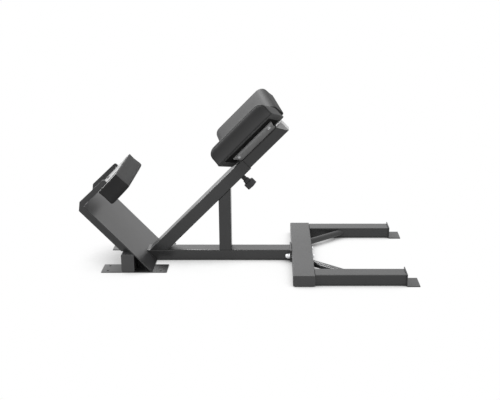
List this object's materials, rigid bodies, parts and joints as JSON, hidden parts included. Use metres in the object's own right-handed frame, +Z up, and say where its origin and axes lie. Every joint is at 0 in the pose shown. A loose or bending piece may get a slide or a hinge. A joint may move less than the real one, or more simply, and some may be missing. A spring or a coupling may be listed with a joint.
{
  "type": "hyperextension bench",
  "caption": "Floor-standing 45 degree back extension bench with a tube frame, foot plate and ankle cushion, and a sliding arm with a pull pin that carries tilted thigh cushions.",
  "frame": {"origin": "centre of the footprint box, at floor level", "axes": "+X from the foot plate to the rear legs, +Y to the far side, +Z up"},
  "size_m": [1.5602, 0.747, 0.797],
  "materials": {
    "frame_paint": "satin powder coat",
    "plate_paint": "satin",
    "cushion_vinyl": "fine grained vinyl",
    "cushion_board": "black board",
    "black_plastic": "matte",
    "end_cap_plastic": "satin",
    "zinc": "zinc plated",
    "black_steel": "black oxide"
  },
  "bodies": {
    "frame": {"main_beam": "frame_paint", "front_cross_tube": "frame_paint", "front_cross_tube_cap_near": "frame_paint", "front_cross_tube_cap_far": "frame_paint", "floor_plate_near": "frame_paint", "floor_plate_far": "frame_paint", "foot_plate": "frame_paint", "side_plate_near": "frame_paint", "side_plate_far": "frame_paint", "ankle_pad": "cushion_vinyl", "ankle_back_plate": "plate_paint", "ankle_bolt_near": "black_steel", "ankle_bolt_far": "black_steel", "ankle_bolt_middle": "black_steel", "flange_plate": "frame_paint", "rear_crossbar": "frame_paint", "rear_crossbar_cap_near": "frame_paint", "rear_crossbar_cap_far": "frame_paint", "leg_near": "frame_paint", "leg_far": "frame_paint", "leg_bracket_near": "frame_paint", "leg_bracket_far": "frame_paint", "brace_near": "frame_paint", "brace_far": "frame_paint", "frame_bolt_near": "zinc", "frame_bolt_far": "zinc", "frame_nut_near": "zinc", "frame_nut_far": "zinc", "upright": "frame_paint", "arm_tube": "frame_paint", "arm_bush": "black_plastic", "pin_boss": "frame_paint", "pin_barrel": "black_steel"},
    "carriage": {"carriage_tube": "frame_paint", "carriage_end_cap": "end_cap_plastic", "carriage_glide": "black_plastic", "pad_carrier": "plate_paint", "pad_board_near": "cushion_board", "pad_board_far": "cushion_board", "thigh_pad_near": "cushion_vinyl", "thigh_pad_far": "cushion_vinyl", "pad_bolt_near_lower": "zinc", "pad_bolt_near_upper": "zinc", "pad_bolt_far_lower": "zinc", "pad_bolt_far_upper": "zinc"},
    "pull_pin": {"pin_plunger": "zinc"},
    "knob": {"pin_knob": "black_plastic"}
  },
  "joints": [
    {"name": "carriage_slide", "type": "slide", "parent": "frame", "child": "carriage", "axis": [0.7071, 0, 0.7071], "range_m": [0, 0.2]},
    {"name": "pin_slide", "type": "slide", "parent": "frame", "child": "pull_pin", "axis": [0.7071, 0, -0.7071], "range_m": [-0.012, 0]},
    {"name": "knob_turn", "type": "hinge", "parent": "pull_pin", "child": "knob", "pos_m": [-0.02909, 0, 0.41507], "axis": [0.7071, 0, -0.7071], "continuous": true}
  ]
}
